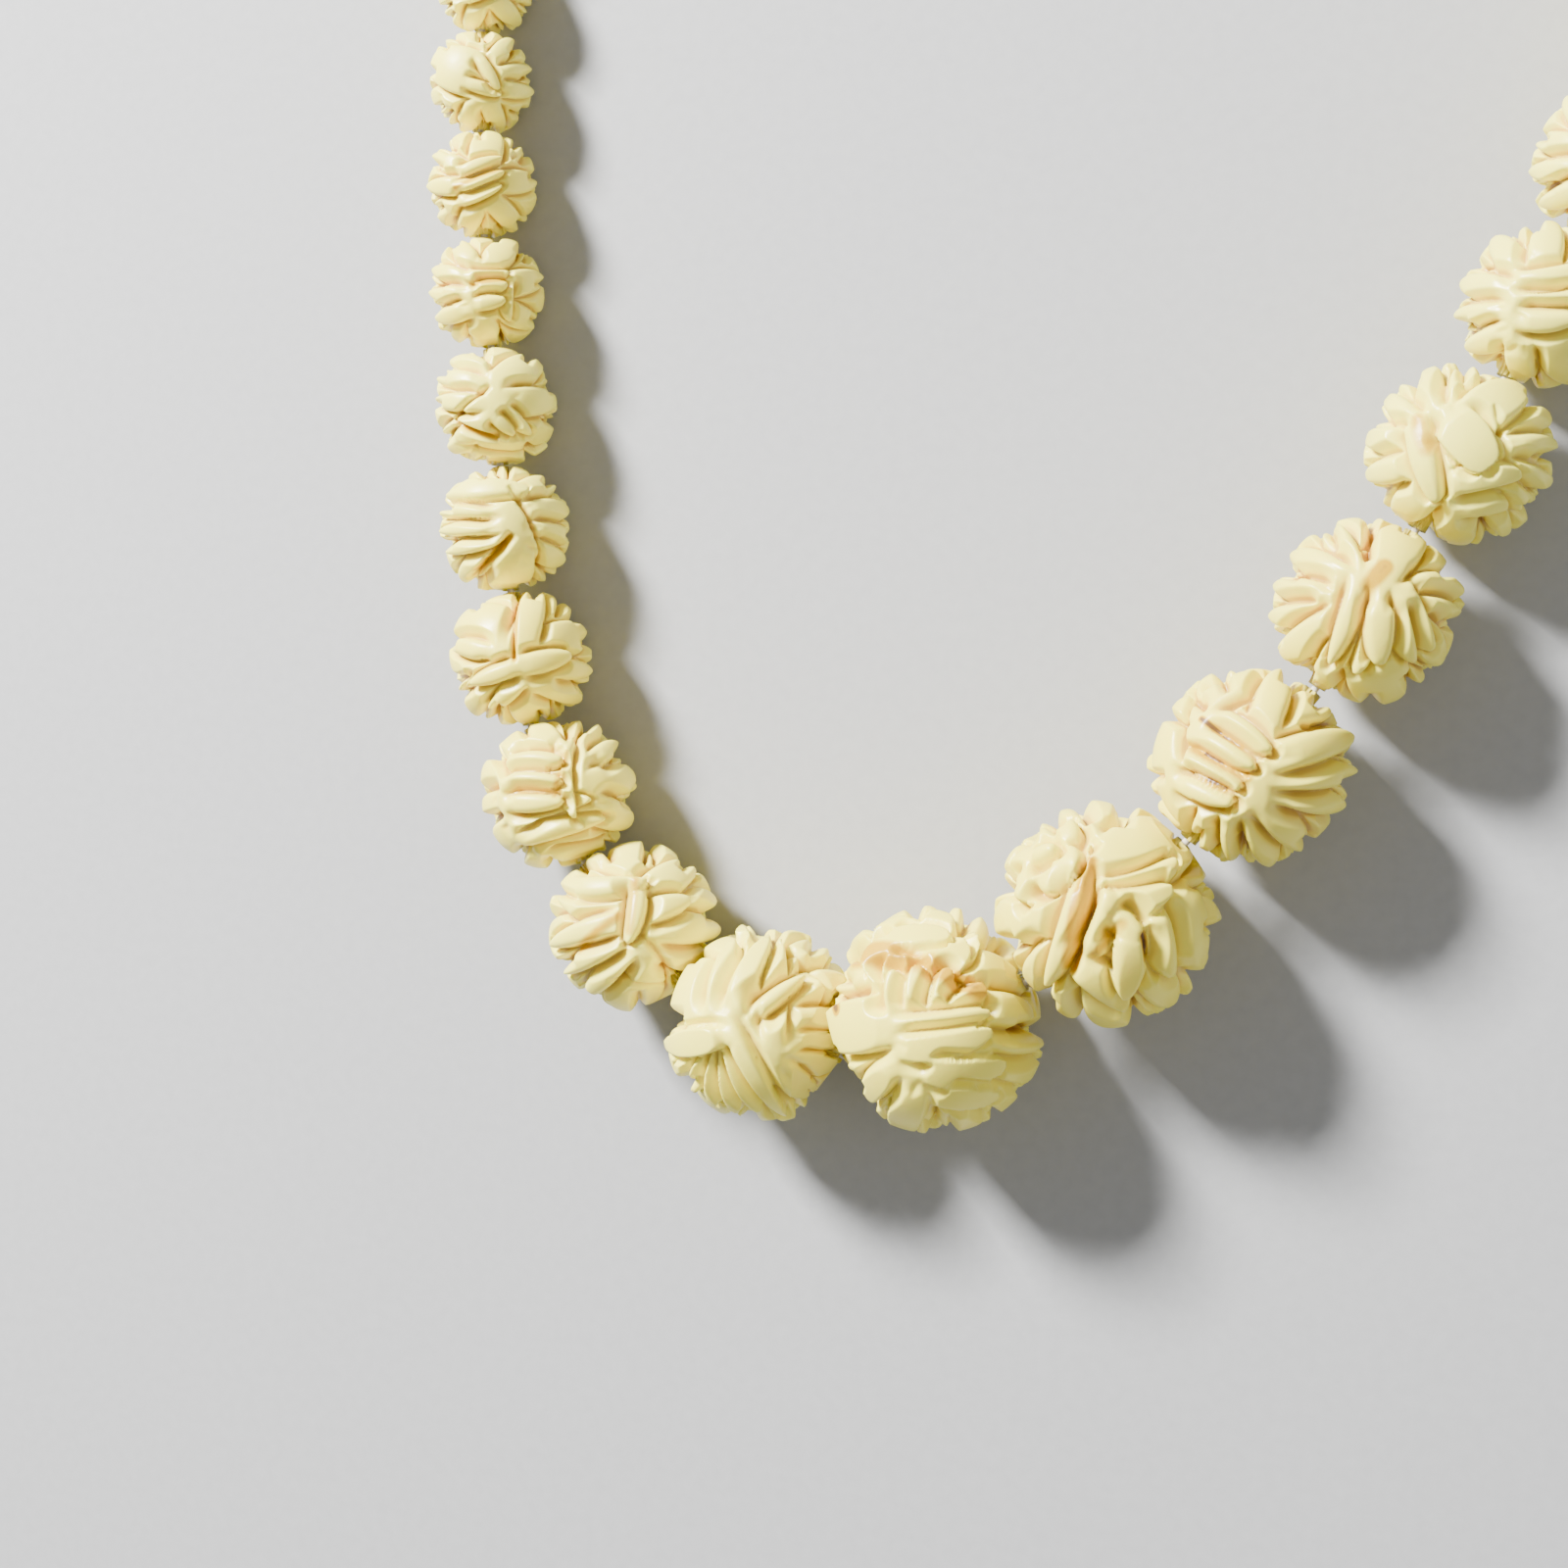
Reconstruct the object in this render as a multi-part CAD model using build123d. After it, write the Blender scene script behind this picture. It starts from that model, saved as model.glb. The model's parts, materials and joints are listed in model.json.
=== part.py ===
from build123d import *
import math
import os

# A graduated necklace of hand-carved rose beads, laid out flat as a loop with its clasp undone.
# Millimetres. The loop lies in XY with +Z up, and every bead rests on z = 0.

# Beads: the two largest sit side by side at the front, and each side grades down to the clasp.
BEADS_PER_SIDE = 22
LARGEST_BEAD = 17.0
GRADING_END = 6.1
GRADING_STEPS = 6.6
BEAD_END_SHARE = 0.92
BEAD_END_SLOPE = 23.0
BEAD_CLEARANCE = 0.15
BEAD_ROLL = 47.0
CORD_RADIUS = 0.3
CORD_BEND = 1.0
BORE_RADIUS = 0.75
BORE_SHARE = 0.16

# Carving, as shares of the bead's radius.
ROSES = 3
PETALS = 5
PETAL_RING = 0.40
BUD_RING = 0.19
GROOVE = 0.085
BUD_GROOVE = 0.065
ROSE_DEPTH = 0.91
SLIT_REACH = 0.17
SLIT_DEPTH = 0.5
LEAF_RING = 0.62
LEAF_GROOVE = 0.10

# Clasp: a bead tip, a jump ring and half of a screw barrel on each end.
TIP_RADIUS = 1.6
TIP_WALL = 0.3
TIP_GAP = 0.15
TIP_BORE = 0.5
TIP_SEAM = 0.25
KNOT_RADIUS = 0.8
KNOT_GAP = 0.1
WIRE_RADIUS = 0.27
LOOP_RADIUS = 1.0
RING_RADIUS = 1.75
BARREL_RADIUS = 2.1
BARREL_EDGE = 0.35
SOCKET_LENGTH = 5.4
SOCKET_DEPTH = 3.2
SOCKET_BORE = 1.25
SCREW_BARREL = 3.6
SCREW_RADIUS = 1.15
SCREW_LENGTH = 2.6
TIP_LOOP = TIP_RADIUS + LOOP_RADIUS - WIRE_RADIUS / 2
BARREL_START = LOOP_RADIUS + WIRE_RADIUS / 2

# Route of the strand, chosen by hand: it starts at the front gap, and goes up the right side,
# over the back and down the left side.
ROUTE = [
    (21.5, -15.8), (28.5, -9.6), (39.4, 1.2), (47.4, 13), (60, 35), (70, 58),
    (77, 86), (75, 115), (61.5, 140.5), (38, 157), (11, 154.5), (-12, 135.5), (-24.5, 102),
    (-29.5, 62), (-28.6, 44), (-26.6, 23), (-21.2, -2), (-13.2, -13.6), (-2, -22), (13.6, -20.7),
]
ROUTE_SEARCH = 0.15
ROUTE_PRECISION = 1e-7


def bead_diameter(place):
    """Diameter of the bead at this place, counted from the front."""
    share = math.exp(-(place - 1) / GRADING_STEPS)
    return GRADING_END + (LARGEST_BEAD - GRADING_END) * share


def march(route, lengths, direction):
    """Points along the route from its start, each one chord length on from the last."""
    points, parameter = [route.position_at(0)], 0.0
    for length in lengths:
        low, high = 0.0, ROUTE_SEARCH
        while high - low > ROUTE_PRECISION:
            middle = (low + high) / 2
            place = route.position_at((parameter + direction * middle) % 1.0)
            if (place - points[-1]).length < length:
                low = middle
            else:
                high = middle
        parameter = (parameter + direction * high) % 1.0
        points.append(route.position_at(parameter))
    return points


def side_pivots(direction, clasp_length):
    """Hinge points of one side: every bead gap, the tip's loop, the ring's end, the clasp's mouth."""
    diameters = [bead_diameter(place) for place in range(1, BEADS_PER_SIDE + 1)]
    lengths = [diameter + BEAD_CLEARANCE for diameter in diameters]
    lengths += [TIP_GAP + TIP_RADIUS + TIP_LOOP, 2 * RING_RADIUS, clasp_length]
    flat = march(Spline(*ROUTE, periodic=True), lengths, direction)
    heights = [diameters[0] / 2]
    heights += [(near + far) / 4 for near, far in zip(diameters, diameters[1:])]
    heights += [diameters[-1] / 2] + [BARREL_RADIUS] * 3
    return [Vector(point.X, point.Y, height) for point, height in zip(flat, heights)]


def along(start, end, origin, roll=0.0):
    """Location at origin whose Z runs from start to end, with X level before the roll."""
    heading = (end - start).normalized()
    level = Vector(0, 0, 1).cross(heading).normalized()
    return Location(Plane(origin=origin, x_dir=level, z_dir=heading)) * Rotation(0, 0, roll)


def rose_cutters(radius):
    """Grooves of one rose that faces +X: a bud ring, a petal ring and the slits between petals."""
    face = Location(Plane(origin=(ROSE_DEPTH * radius, 0, 0), z_dir=(1, 0, 0)))
    cutters = [
        face * Torus(PETAL_RING * radius, GROOVE * radius),
        face * Torus(BUD_RING * radius, BUD_GROOVE * radius),
    ]
    slit = Box(GROOVE * radius, (PETAL_RING - BUD_RING) * radius, SLIT_DEPTH * radius)
    reach = Pos(0, (PETAL_RING + BUD_RING) / 2 * radius, SLIT_REACH * radius)
    for petal in range(PETALS):
        cutters.append(face * Rotation(0, 0, 360 / PETALS * petal) * reach * slit)
    return cutters


def carved_bead(diameter):
    """A bead bored along Z, with roses round its middle and leaf grooves between them."""
    radius = diameter / 2
    reach = BEAD_END_SHARE * radius
    spread = radius / math.tan(math.radians(BEAD_END_SLOPE))
    end_cone = Pos(0, 0, reach / 2) * Cone(spread, (1 - BEAD_END_SHARE) * spread, reach)
    bead = Sphere(radius) & (end_cone + Rotation(180, 0, 0) * end_cone)
    cutters = [Cylinder(min(BORE_RADIUS, BORE_SHARE * radius), diameter)]
    leaf = Pos(radius, 0, 0) * Rotation(0, 90, 0) * Torus(LEAF_RING * radius, LEAF_GROOVE * radius)
    for rose in range(ROSES):
        cutters += [Rotation(0, 0, 360 / ROSES * rose) * cutter for cutter in rose_cutters(radius)]
        cutters.append(Rotation(0, 0, 360 / ROSES * (rose + 0.5)) * leaf)
    return bead - cutters


def stringing_cord(points):
    """One length of thread through every bead, bent only in the gaps."""
    path = FilletPolyline(*points, radius=CORD_BEND)
    return sweep(Plane(origin=path @ 0, z_dir=path % 0) * Circle(CORD_RADIUS), path=path)


def wire_loop():
    """Upright wire loop about X, so that a level ring links through it."""
    return Rotation(0, 90, 0) * Torus(LOOP_RADIUS, WIRE_RADIUS)


def bead_tip():
    """Hollow tip of two cups, open towards -Z for the thread, with its loop on +Z."""
    shell = Sphere(TIP_RADIUS) - Sphere(TIP_RADIUS - TIP_WALL)
    shell -= Pos(0, 0, -TIP_RADIUS) * Cylinder(TIP_BORE, TIP_RADIUS)
    shell -= Pos(0, 0, -TIP_RADIUS) * Box(2 * TIP_RADIUS, TIP_SEAM, 1.5 * TIP_RADIUS)
    return shell + Pos(0, 0, TIP_LOOP) * wire_loop()


def barrel(length):
    """Barrel of a clasp half, with its loop at the origin and its mouth towards +Z."""
    body = Pos(0, 0, BARREL_START + length / 2) * Cylinder(BARREL_RADIUS, length)
    body = chamfer(body.edges().filter_by(GeomType.CIRCLE), BARREL_EDGE)
    return body + wire_loop()


def clasp_socket():
    """Socket half: a barrel with a blind bore in its mouth."""
    end = BARREL_START + SOCKET_LENGTH
    bore = Pos(0, 0, end - SOCKET_DEPTH / 2) * Cylinder(SOCKET_BORE, SOCKET_DEPTH)
    return barrel(SOCKET_LENGTH) - bore


def clasp_screw():
    """Screw half: a shorter barrel with the screw standing out of its mouth."""
    end = BARREL_START + SCREW_BARREL
    return barrel(SCREW_BARREL) + Pos(0, 0, end + SCREW_LENGTH / 2) * Cylinder(SCREW_RADIUS, SCREW_LENGTH)


def side_pieces(side, pivots, half_name, half):
    """Beads, tip, knot, ring and clasp half of one side, in place."""
    pieces = {}
    for place in range(1, BEADS_PER_SIDE + 1):
        diameter = bead_diameter(place)
        start, end = pivots[place - 1], pivots[place]
        middle = (start + end) / 2
        centre = Vector(middle.X, middle.Y, diameter / 2)
        spot = along(start, end, centre, BEAD_ROLL * place)
        pieces[f"bead_{side}_{place:02d}"] = spot * carved_bead(diameter)
    last, loop, ring_end, mouth = pivots[BEADS_PER_SIDE:]
    tip_centre = last + (loop - last).normalized() * (TIP_GAP + TIP_RADIUS)
    spot = along(last, loop, tip_centre)
    pieces[f"bead_tip_{side}"] = spot * bead_tip()
    pieces[f"knot_{side}"] = spot * Sphere(KNOT_RADIUS)
    pieces[f"clasp_ring_{side}"] = Pos((loop + ring_end) / 2) * Torus(RING_RADIUS, WIRE_RADIUS)
    pieces[half_name] = along(ring_end, mouth, ring_end) * half
    return pieces


def cord_end(pivots):
    """Where the thread meets the knot, on one side."""
    last, loop = pivots[BEADS_PER_SIDE], pivots[BEADS_PER_SIDE + 1]
    return last + (loop - last).normalized() * (TIP_GAP + TIP_RADIUS - KNOT_RADIUS - KNOT_GAP)


def hinge_points():
    """The hinge points of each side, with the middle of the loop's outline over the origin."""
    left = side_pivots(-1, BARREL_START + SCREW_BARREL + SCREW_LENGTH)
    right = side_pivots(1, BARREL_START + SOCKET_LENGTH)
    outline = []
    for pivots in (left, right):
        outline += [((a + b) / 2, (b - a).length / 2) for a, b in zip(pivots, pivots[1:])]
    low_x = min(point.X - reach for point, reach in outline)
    high_x = max(point.X + reach for point, reach in outline)
    low_y = min(point.Y - reach for point, reach in outline)
    high_y = max(point.Y for point in left + right) + BARREL_RADIUS
    middle = Vector((low_x + high_x) / 2, (low_y + high_y) / 2, 0)
    return [point - middle for point in left], [point - middle for point in right]


def necklace():
    """Every piece by name, in place."""
    left, right = hinge_points()
    pieces = side_pieces("left", left, "clasp_screw", clasp_screw())
    pieces |= side_pieces("right", right, "clasp_socket", clasp_socket())
    left_run = [cord_end(left)] + left[BEADS_PER_SIDE::-1]
    pieces["stringing_cord"] = stringing_cord(left_run + right[1:BEADS_PER_SIDE + 1] + [cord_end(right)])
    return pieces


def main():
    os.makedirs("parts", exist_ok=True)
    for name, piece in necklace().items():
        export_step(piece, f"parts/{name}.step")


if __name__ == "__main__":
    main()
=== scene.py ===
import json
import math

import bpy
import numpy as np
from mathutils import Matrix, Vector


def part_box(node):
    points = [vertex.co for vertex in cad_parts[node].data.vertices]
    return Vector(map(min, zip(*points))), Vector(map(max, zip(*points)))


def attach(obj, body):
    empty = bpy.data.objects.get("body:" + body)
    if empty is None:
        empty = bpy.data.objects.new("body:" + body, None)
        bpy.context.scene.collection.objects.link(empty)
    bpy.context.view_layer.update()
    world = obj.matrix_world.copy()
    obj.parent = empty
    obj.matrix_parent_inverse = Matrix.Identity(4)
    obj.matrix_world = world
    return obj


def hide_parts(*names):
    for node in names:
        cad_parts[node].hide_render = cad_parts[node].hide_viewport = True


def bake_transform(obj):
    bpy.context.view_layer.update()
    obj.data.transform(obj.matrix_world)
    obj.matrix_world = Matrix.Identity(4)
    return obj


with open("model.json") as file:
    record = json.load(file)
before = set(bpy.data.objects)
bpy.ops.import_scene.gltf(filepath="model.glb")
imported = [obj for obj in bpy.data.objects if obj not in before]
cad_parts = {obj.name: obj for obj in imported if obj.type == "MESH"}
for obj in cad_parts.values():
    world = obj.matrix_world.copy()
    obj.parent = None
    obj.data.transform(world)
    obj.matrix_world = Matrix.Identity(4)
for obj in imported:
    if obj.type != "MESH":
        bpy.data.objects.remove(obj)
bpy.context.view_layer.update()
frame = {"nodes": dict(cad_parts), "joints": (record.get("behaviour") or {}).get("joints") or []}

MM = 0.001

# The strand. Lengths are the CAD's own, in metres here, and shares are of a bead's radius.
BEADS_PER_SIDE = 22
BEAD_CLEARANCE = 0.15 * MM
BORE_RADIUS = 0.75 * MM
BORE_SHARE = 0.16  # the most that the bore's radius may be
END_SHARE = 0.985  # how far the carved ends reach along the bore
LEAST_BEND = 20.0  # degrees that every gap can bend outwards
CORD_RADIUS = 0.3 * MM

# The camera looks down on the front of the strand from the right.
LOOK_FROM_FRONT_BEAD = Vector((-13.7, 19.3, -2.0)) * MM
CAMERA_DISTANCE = 184.9 * MM
CAMERA_TILT = math.radians(18.3)
CAMERA_LIFT = math.radians(-1.0)
CAMERA_LENS = 49.77

# Carving, as shares of a bead's radius.
GROUND = 0.965  # the ball before it is carved
DEEPEST = 0.72  # no cut goes below this
WAVES = 5  # slow unevenness of that ball
WAVE_HEIGHT = 0.006
BEVEL = 0.09  # width of a petal's rounded edge
EDGE_DROP = 0.06  # how far that edge falls
CUT_DEPTH = 0.09  # the cut beside a petal, below its edge
CUT_STEEP = 0.045  # from the petal's edge to the bottom of that cut
CUT_WIDTH = 0.17  # from the petal's edge to where that cut has run out
BULGE = 0.05  # swelling round the bead's middle
SHOULDER = 0.04  # swelling halfway to its ends
SWELL = {  # swelling round the middle where a bead has more or less room than the others
    ("left", 1): 0.12, ("left", 2): 0.09, ("right", 2): 0.01, ("right", 3): 0.01,
    ("right", 4): 0.10, ("right", 5): 0.05,
}
RIM_CUTS = 9
HIDDEN_ROSES = 3

# What the bone's shader reads: how far a spot sinks below its surroundings, which it paints as shade in the
# crevices, and how far it lies below the ridges, which moves the colour from ivory towards honey and that
# painted shade.
CREVICE_SHADE_GAIN = 30
RIDGE_TOP = 1.02
DEPTH_RANGE = 0.20

# Mesh rows round the bore and along it: fine for the beads in view, coarse for the others.
FINE_GRID = (380, 190)
COARSE_GRID = (200, 100)
WALL_ROWS = 6
FINE_BEADS = {"left": 11, "right": 6}

JOINTS = {joint["name"]: Vector(joint["pos_m"]) for joint in frame["joints"]}


# ---------------------------------------------------------------- where the strand lies

def gap_name(side, place):
    """The hinge past the bead at this place; place 0 is the gap between the two front beads."""
    if place == 0:
        return "front_gap"
    beyond = {BEADS_PER_SIDE: f"tip_swing_{side}", BEADS_PER_SIDE + 1: f"ring_swing_{side}"}
    return beyond.get(place, f"gap_{side}_{place:02d}")


def hinge(side, place):
    """Where that hinge is; a place below zero counts along the other side."""
    if place < 0:
        side, place = ("right" if side == "left" else "left"), -place
    return JOINTS[gap_name(side, place)]


def bead_body(side, place):
    return "front_bead" if (side, place) == ("left", 1) else f"bead_{side}_{place:02d}"


def bead_seat(side, place):
    """Centre, bore direction and radius of a bead, from the hinges at its two ends."""
    start, end = hinge(side, place - 1), hinge(side, place)
    along = end - start
    radius = (along.xy.length - BEAD_CLEARANCE) / 2
    middle = (start + end) / 2
    return Vector((middle.x, middle.y, radius)), along.normalized(), radius


def end_slope(side, place):
    """Taper of the bead ends at a gap: half the angle that the gap bends, at rest or at its limit."""
    before, middle, after = (hinge(side, place + step) for step in (-1, 0, 1))
    bend = math.degrees((middle - before).xy.angle((after - middle).xy))
    return math.radians(max(bend, LEAST_BEND) / 2 + 1)


def unit(vector):
    vector = np.asarray(vector, float)
    return vector / np.linalg.norm(vector)


def square_to(spot, direction):
    """The part of a direction that is square to the spot, at unit length."""
    return unit(direction - (direction @ spot) * spot)


def camera_frame():
    """Where the camera stands, and its right, up and forward directions."""
    tilt, lift = CAMERA_TILT, CAMERA_LIFT
    forward = Vector((-math.sin(tilt) * math.cos(lift), math.sin(lift), -math.cos(tilt) * math.cos(lift)))
    right = forward.cross(Vector((0, 1, 0))).normalized()
    up = right.cross(forward)
    target = bead_seat("left", 1)[0] + LOOK_FROM_FRONT_BEAD
    return target - forward * CAMERA_DISTANCE, right, up, forward


# ---------------------------------------------------------------- carving

class Facing:
    """The view of one bead: a place on it is (across, up) in shares of its radius."""

    def __init__(self, centre, eye, up):
        self.out = unit(eye - centre)
        self.right = unit(np.cross(np.asarray(up, float), self.out))
        self.up = np.cross(self.out, self.right)

    def spot(self, across, up):
        """The direction of that place; beyond 1 it runs on over the bead's outline to the back."""
        reach = math.hypot(across, up)
        away = math.asin(min(reach, 0.98)) + max(reach - 0.98, 0)
        share = math.sin(away) / max(reach, 1e-6)
        return share * (across * self.right + up * self.up) + math.cos(away) * self.out

    def run(self, across, up, to_across, to_up):
        """Start, direction and length of the arc between two places."""
        spot, end = self.spot(across, up), self.spot(to_across, to_up)
        return spot, square_to(spot, end), math.acos(float(np.clip(spot @ end, -1, 1)))

    def over_the_rim(self, angle, start):
        """A spot start radians out from the bead's middle, and the way on over its outline."""
        outward = math.cos(angle) * self.right + math.sin(angle) * self.up
        return (math.cos(start) * self.out + math.sin(start) * outward,
                -math.sin(start) * self.out + math.cos(start) * outward)

    def petals(self, *rows):
        """Petals from place to place: (across, up, to across, to up, width, height, bend, tip), of
        which the last three may be left out."""
        plates = []
        for across, up, to_across, to_up, width, *more in rows:
            high, bend, tip = more + [1.0, 0.0, 1.8][len(more):]
            plates.append(petal(*self.run(across, up, to_across, to_up), width, high - 0.05, high,
                                bend=bend, tip=tip))
        return plates

    def grooves(self, *rows):
        """V-cuts from place to place: (across, up, to across, to up, width, depth, bend)."""
        cuts = []
        for across, up, to_across, to_up, width, depth, *more in rows:
            cuts.append(groove(*self.run(across, up, to_across, to_up), width, depth, *more))
        return cuts

    def stains(self, *rows):
        """Stained strips from place to place: (across, up, to across, to up, width, strength)."""
        return [stain(*self.run(*row[:4]), *row[4:]) for row in rows]


def tangent(spot, heading, right):
    """The direction on the bead at a spot that is heading degrees round from the right."""
    across = square_to(spot, right)
    angle = math.radians(heading)
    return math.cos(angle) * across + math.sin(angle) * np.cross(spot, across)


def petal(spot, ahead, length, width, low=0.93, high=1.0, cup=-0.02, lean=0.0, bend=0.0, tip=1.8):
    """One carved petal: it starts at spot, runs ahead, and is highest at its far edge.

    cup lifts both long edges, lean lifts one of them, bend curves the petal sideways, and tip is
    large for a square end and small for a pointed one."""
    return {"kind": "petal", "spot": spot, "ahead": ahead, "length": length, "width": width, "low": low,
            "high": high, "cup": cup, "lean": lean, "bend": bend, "tip": tip}


def groove(spot, ahead, length, width, depth, bend=0.0):
    """One V-cut that starts at spot and runs ahead."""
    return {"kind": "groove", "spot": spot, "ahead": ahead, "length": length, "width": width,
            "depth": depth, "bend": bend}


def stain(spot, ahead, length, width, strength):
    """One strip of old dirt: a strength of 1 is amber, 2 is dark brown."""
    return {"kind": "stain", "spot": spot, "ahead": ahead, "length": length, "width": width,
            "strength": strength, "bend": 0.0}


def laid_out(points, mark):
    """Which points a mark can reach, and their places along it and across it."""
    spot, ahead = mark["spot"], mark["ahead"]
    facing = points @ spot
    near = facing > -0.2
    x, y = points[near] @ ahead, points[near] @ np.cross(spot, ahead)
    stretch = np.arccos(np.clip(facing[near], -1, 1)) / np.maximum(np.hypot(x, y), 1e-6)
    x, y = x * stretch, y * stretch
    return near, x, y - mark["bend"] * x * (mark["length"] - x)


def lay_petal(height, points, plate):
    """Lay one more petal on the surface: its own rounded top, and a cut beside its outline."""
    near, x, y = laid_out(points, plate)
    length, below = plate["length"], height[near]
    inside = np.clip(x / length, 0, 1)
    half = plate["width"] / 2 * np.sin(math.pi * inside ** 0.8) ** (0.6 / plate["tip"])
    across = np.clip(y / np.maximum(half, 1e-5), -1, 1)
    top = plate["low"] + (plate["high"] - plate["low"]) * inside
    top = top + plate["cup"] * across ** 2 + plate["lean"] * across
    margin = np.minimum(half - np.abs(y), np.minimum(inside, 1 - inside) * length)
    edge = np.clip(margin / BEVEL, 0, 1)
    crown = top - EDGE_DROP * (1 - np.sqrt(edge * (2 - edge)))
    beyond = np.hypot(np.maximum(np.abs(y) - half, 0), np.maximum(x - length, 0))
    fall = np.minimum(beyond / CUT_STEEP, 1) * CUT_DEPTH
    rise = np.maximum(beyond - CUT_STEEP, 0) / (CUT_WIDTH - CUT_STEEP) * (CUT_DEPTH + EDGE_DROP)
    beside = np.minimum(below, top - EDGE_DROP - fall + rise)
    laid = np.where(margin > 0, crown, beside)
    root = np.clip(x / (0.3 * length), 0, 1)
    height[near] = below + root * root * (3 - 2 * root) * (laid - below)


def groove_depth(points, cut):
    """How deep one V-cut goes at every point it reaches."""
    near, x, y = laid_out(points, cut)
    ends = np.clip(np.minimum(x, cut["length"] - x) / cut["width"], 0, 1)
    across = np.clip(1 - np.abs(y) / (cut["width"] / 2), 0, 1)
    return near, cut["depth"] * np.sqrt(ends) * across ** 1.4


def stain_strength(points, strip):
    """How strong one stain is at every point it reaches."""
    near, x, y = laid_out(points, strip)
    beyond = np.maximum(np.maximum(-x, x - strip["length"]), 0)
    fade = np.clip(1 - np.hypot(beyond, y) / (strip["width"] / 2), 0, 1)
    return near, strip["strength"] * fade * (2 - fade)


def ring_of_petals(centre, right, count, base, reach, phase, high, rng):
    """Petals round a centre, each standing on the inner radius and reaching to the outer one."""
    plates = []
    for number in range(count):
        heading = phase + 360 / count * number + rng.uniform(-6, 6)
        ahead = tangent(centre, heading, right)
        spot = unit(centre + base * ahead)
        length = (reach - base) * rng.uniform(0.9, 1.1)
        width = 2.3 * reach * math.sin(math.pi / count)
        plates.append(petal(spot, square_to(spot, ahead), length, width, high - 0.07, high, lean=0.02))
    return plates


def rim_of_lobes(see, count, phase, rng):
    """Lobes that stand round the bead's outline, with notches between them."""
    plates = []
    for number in range(count):
        angle = math.radians(phase + 360 / count * (number + rng.uniform(-0.2, 0.2)))
        start, end = rng.uniform(0.72, 0.95), rng.uniform(1.6, 2.0)
        width = 2 * math.pi / count * rng.uniform(0.85, 1.15)
        high, lean = 1.0 + rng.uniform(-0.02, 0.03), rng.uniform(-0.03, 0.03)
        plates.append(petal(*see.over_the_rim(angle, start), end - start, width, 0.92, high,
                            lean=lean, tip=2.6))
    return plates


def rim_cuts(see, rng):
    """V-cuts across the bead's outline, which make its notches."""
    cuts = []
    turn = rng.uniform(0, 2 * math.pi)
    for number in range(RIM_CUTS):
        angle = turn + 2 * math.pi / RIM_CUTS * (number + rng.uniform(-0.25, 0.25))
        start = rng.uniform(0.85, 1.15)
        width, depth = rng.uniform(0.18, 0.28), rng.uniform(0.12, 0.19)
        cuts.append(groove(*see.over_the_rim(angle, start), 2.0 - start, width, depth))
    return cuts


def rose(centre, right, size, rng, phase):
    """Two rings of overlapping petals round a bud, the inner ring standing above the outer one."""
    plates = ring_of_petals(centre, right, 6, 0.30 * size, size, phase, 1.0, rng)
    plates += ring_of_petals(centre, right, 4, 0.08 * size, 0.62 * size, phase + 31, 1.01, rng)
    ahead = tangent(centre, phase, right)
    start = unit(centre - 0.16 * size * ahead)
    bud = petal(start, square_to(start, ahead), 0.34 * size, 0.26 * size, 1.01, 1.03)
    return plates + [bud]


def fan(spot, right, heading, spread, count, length, width, **more):
    """Plates that spread from one spot."""
    plates = []
    for number in range(count):
        ahead = tangent(spot, heading + spread * (number / (count - 1) - 0.5), right)
        plates.append(petal(spot, ahead, length, width, **more))
    return plates


def plain_carving(axis, see, rng, keep_clear):
    """Roses round the bead's middle with leaves between them. keep_clear leaves them off the side
    that faces the camera."""
    axis = unit(axis)
    level = unit(np.cross(axis, [0.3, 0.5, 0.81]))
    other = np.cross(axis, level)
    turn = rng.uniform(0, 2 * math.pi)
    plates, roses = [], []
    for number in range(HIDDEN_ROSES):
        angle = turn + number * 2 * math.pi / HIDDEN_ROSES + rng.uniform(-0.12, 0.12)
        centre = unit(math.cos(angle) * level + math.sin(angle) * other + rng.uniform(-0.15, 0.15) * axis)
        roses += rose(centre, axis, rng.uniform(0.86, 0.98), rng, rng.uniform(0, 360))
        leaf = angle + math.pi / HIDDEN_ROSES
        for way in (-1, 1):
            spot = unit(math.cos(leaf) * level + math.sin(leaf) * other + way * 0.30 * axis)
            plates += fan(spot, axis, 90 - way * 90, 75, 3, 0.72, 0.42, low=0.92, high=0.99, lean=0.02)
    plates += roses
    if keep_clear:
        plates = [plate for plate in plates
                  if unit(plate["spot"] + 0.5 * plate["length"] * plate["ahead"]) @ see.out < -0.2]
    return plates


def bead_surface(points, marks, rng):
    """Height and stain of the carved bead in these directions. The marks are made in turn on a
    slightly uneven ball, so a later petal lies over an earlier one."""
    height, dirt = np.full(len(points), GROUND), np.zeros(len(points))
    for _ in range(WAVES):
        wave = unit(rng.normal(size=3)) * rng.uniform(2.5, 6)
        height += WAVE_HEIGHT * np.sin(points @ wave + rng.uniform(0, 6.3))
    for mark in marks:
        if mark["kind"] == "petal":
            lay_petal(height, points, mark)
        elif mark["kind"] == "groove":
            near, depth = groove_depth(points, mark)
            height[near] -= depth
        else:
            near, strength = stain_strength(points, mark)
            dirt[near] = np.maximum(dirt[near], strength)
    return np.maximum(height, DEEPEST), dirt


def end_limit(polar, slopes):
    """The tapered envelope near the bore's ends, so that neighbours can bend past each other."""
    from_end = np.minimum(polar, math.pi - polar)
    slope = np.where(polar < math.pi / 2, slopes[1], slopes[0])
    cone = np.cos(slope) / np.cos(from_end - slope)
    cone = np.where(from_end < 2 * slope, cone, 1.1)
    return np.minimum(cone, END_SHARE / np.maximum(np.cos(from_end), 1e-3))


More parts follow.
